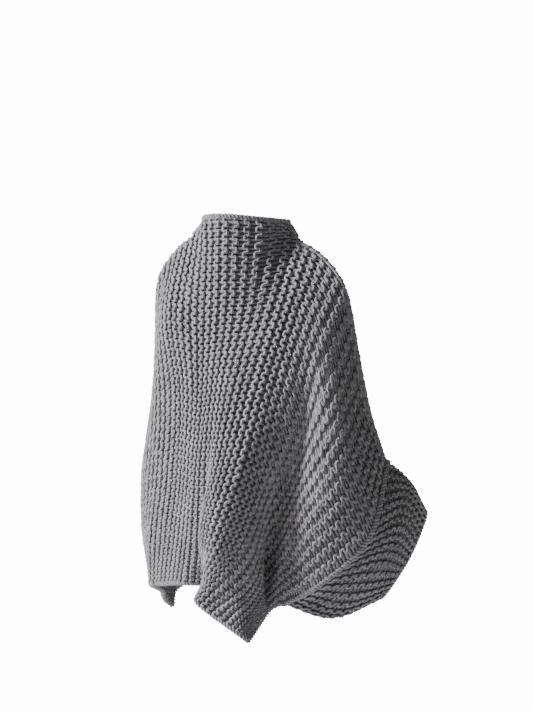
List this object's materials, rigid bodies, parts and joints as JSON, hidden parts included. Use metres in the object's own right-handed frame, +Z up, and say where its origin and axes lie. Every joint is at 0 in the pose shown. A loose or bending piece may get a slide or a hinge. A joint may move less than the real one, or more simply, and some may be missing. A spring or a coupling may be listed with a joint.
{
  "type": "knitted poncho sweater",
  "caption": "Loose sideways-knitted poncho sweater in its worn form: two wide panels, a funnel neck, open lower sides and wide ribbed cuffs.",
  "frame": {"origin": "between the wearer's shoulders, at the base of the neck, where the garment hangs", "axes": "+Z up, +Y towards the wearer's back, +X towards the wearer's left"},
  "size_m": [0.5768, 0.3704, 0.7177],
  "materials": {
    "garter_knit": "matt heather grey wool, garter knit",
    "rib_knit": "matt heather grey wool, ribbed"
  },
  "bodies": {
    "root": {"back_panel": "garter_knit", "front_panel": "garter_knit", "right_cuff": "rib_knit", "left_cuff": "rib_knit"}
  },
  "joints": []
}
